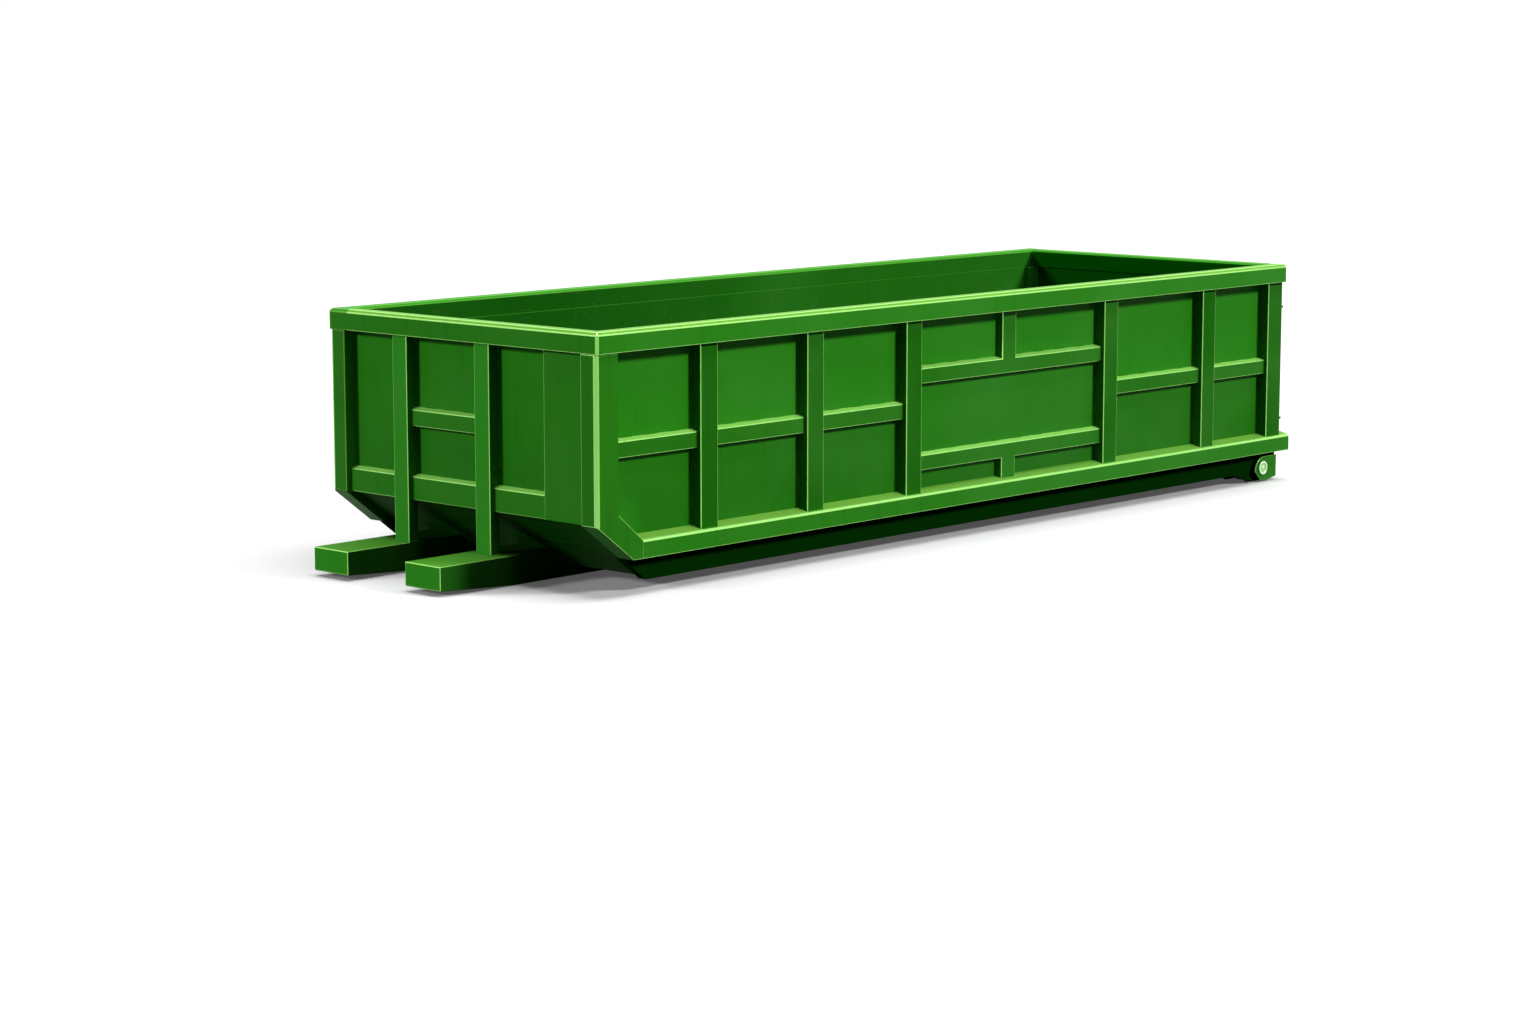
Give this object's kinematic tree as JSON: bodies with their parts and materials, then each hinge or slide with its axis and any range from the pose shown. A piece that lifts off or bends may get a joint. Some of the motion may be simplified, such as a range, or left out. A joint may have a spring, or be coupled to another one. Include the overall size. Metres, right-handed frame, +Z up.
{
  "type": "roll-off dumpster",
  "caption": "Long low open-topped steel waste container with ribbed sides, a raked front foot, ground rails, rear wheels and a side-hung rear door with a turning lock bar.",
  "frame": {"origin": "on the ground, under the middle of the whole object", "axes": "+X along the length towards the rear door, +Y towards the door hinge side, +Z up"},
  "size_m": [7.27, 2.286, 1.518],
  "materials": {
    "green_paint": "glossy green enamel over steel plate, slightly weathered",
    "bare_steel": "greased bare steel pins and bars",
    "wheel_steel": "dark worn steel wheels"
  },
  "bodies": {
    "container": {"far_axle_pin": "bare_steel", "far_bottom_rail": "green_paint", "far_front_corner_frame": "green_paint", "far_front_stiffener": "green_paint", "far_ground_rail": "green_paint", "far_hook_post": "green_paint", "far_lower_stiffener": "green_paint", "far_rear_corner_post": "green_paint", "far_rear_stiffener": "green_paint", "far_side_post_1": "green_paint", "far_side_post_2": "green_paint", "far_side_post_3": "green_paint", "far_side_post_4": "green_paint", "far_side_post_5": "green_paint", "far_side_sheet": "green_paint", "far_top_rail": "green_paint", "far_upper_stiffener": "green_paint", "far_wheel_housing": "green_paint", "floor_plate": "green_paint", "front_bottom_rail": "green_paint", "front_cover_plate": "green_paint", "front_middle_stiffener": "green_paint", "front_sheet": "green_paint", "front_top_rail": "green_paint", "hinge_bracket_1": "green_paint", "hinge_bracket_2": "green_paint", "hinge_pin": "bare_steel", "lock_bearing_1": "green_paint", "lock_bearing_2": "green_paint", "near_axle_pin": "bare_steel", "near_bottom_rail": "green_paint", "near_front_corner_frame": "green_paint", "near_front_stiffener": "green_paint", "near_ground_rail": "green_paint", "near_hook_post": "green_paint", "near_lower_stiffener": "green_paint", "near_rear_corner_post": "green_paint", "near_rear_stiffener": "green_paint", "near_side_post_1": "green_paint", "near_side_post_2": "green_paint", "near_side_post_3": "green_paint", "near_side_post_4": "green_paint", "near_side_post_5": "green_paint", "near_side_sheet": "green_paint", "near_top_rail": "green_paint", "near_upper_stiffener": "green_paint", "near_wheel_housing": "green_paint", "rear_sill": "green_paint", "slope_sheet": "green_paint", "underframe": "green_paint"},
    "door": {"door_frame": "green_paint", "door_hinge_strap_1": "green_paint", "door_hinge_strap_2": "green_paint", "door_skin": "green_paint", "door_top_rail": "green_paint"},
    "lock": {"lock_bar": "green_paint"},
    "lever": {"lock_lever": "green_paint"},
    "near_wheel": {"near_wheel": "wheel_steel"},
    "far_wheel": {"far_wheel": "wheel_steel"}
  },
  "joints": [
    {"name": "door_hinge", "type": "hinge", "parent": "container", "child": "door", "pos_m": [3.573, 1.107, 0.87], "axis": [0, 0, 1], "range_deg": [0, 260]},
    {"name": "lock_turn", "type": "hinge", "parent": "container", "child": "lock", "pos_m": [3.577, -1.025, 0.83], "axis": [0, 0, 1], "range_deg": [0, 180]},
    {"name": "lever_lift", "type": "hinge", "parent": "lock", "child": "lever", "pos_m": [3.588, -1.055, 0.98], "axis": [-1, 0, 0], "range_deg": [0, 90]},
    {"name": "near_wheel_spin", "type": "hinge", "parent": "container", "child": "near_wheel", "pos_m": [3.39, -0.948, 0.1], "axis": [0, 1, 0], "continuous": true},
    {"name": "far_wheel_spin", "type": "hinge", "parent": "container", "child": "far_wheel", "pos_m": [3.39, 0.948, 0.1], "axis": [0, 1, 0], "continuous": true}
  ]
}
